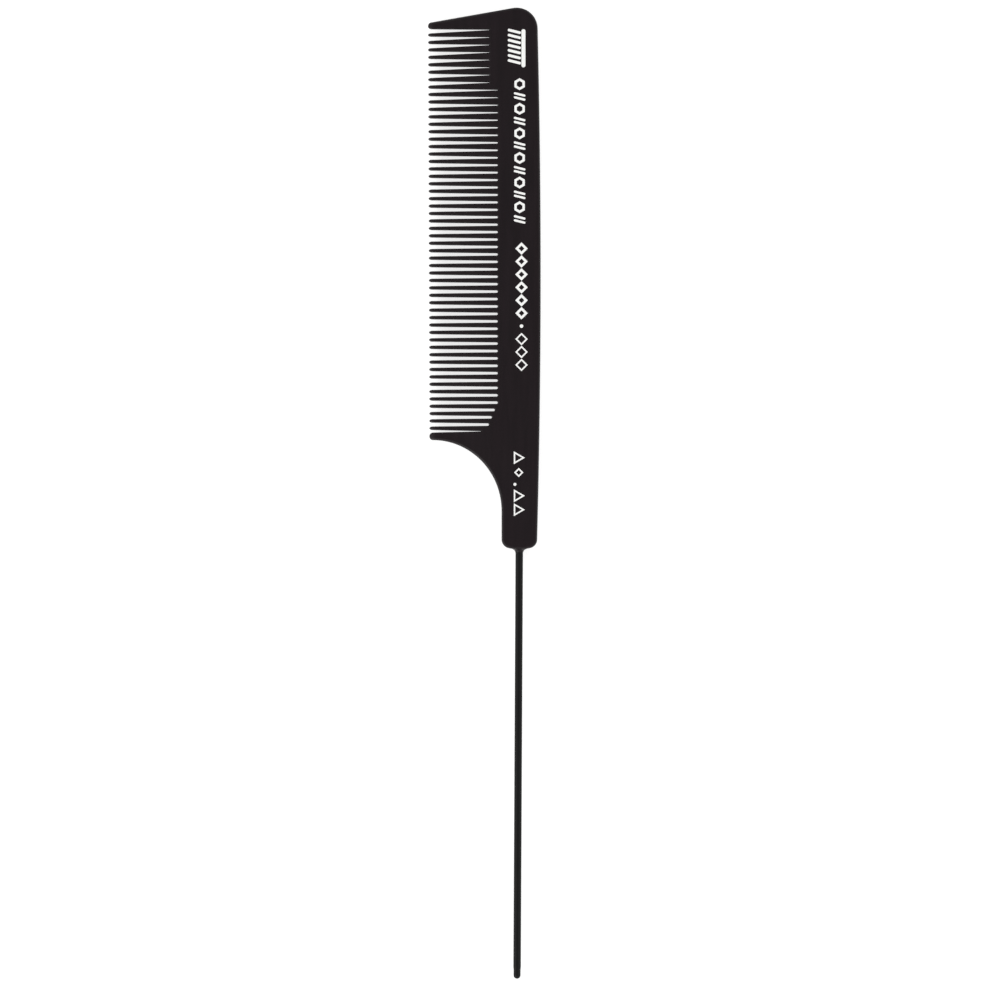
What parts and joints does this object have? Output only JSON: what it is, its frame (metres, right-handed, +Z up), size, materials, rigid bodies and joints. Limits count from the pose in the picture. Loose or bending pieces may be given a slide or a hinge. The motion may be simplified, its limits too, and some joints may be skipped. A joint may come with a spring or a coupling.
{
  "type": "rat tail comb",
  "caption": "Fine-toothed moulded comb with a bowed back, guard teeth at both ends, and a long thin black steel tail pin set in its handle.",
  "frame": {"origin": "on the surface the comb lies on, under the middle of its length and width", "axes": "+X from the comb's head to the tip of the tail pin, teeth pointing along -Y, +Z up out of the printed face"},
  "size_m": [0.23, 0.0266, 0.004],
  "materials": {
    "comb_plastic": "satin, moulded carbon-filled plastic",
    "pin_steel": "smooth black coating on steel wire",
    "print_ink": "matt white pad-printed ink"
  },
  "bodies": {
    "root": {"comb_body": "comb_plastic", "tail_pin": "pin_steel"}
  },
  "joints": []
}
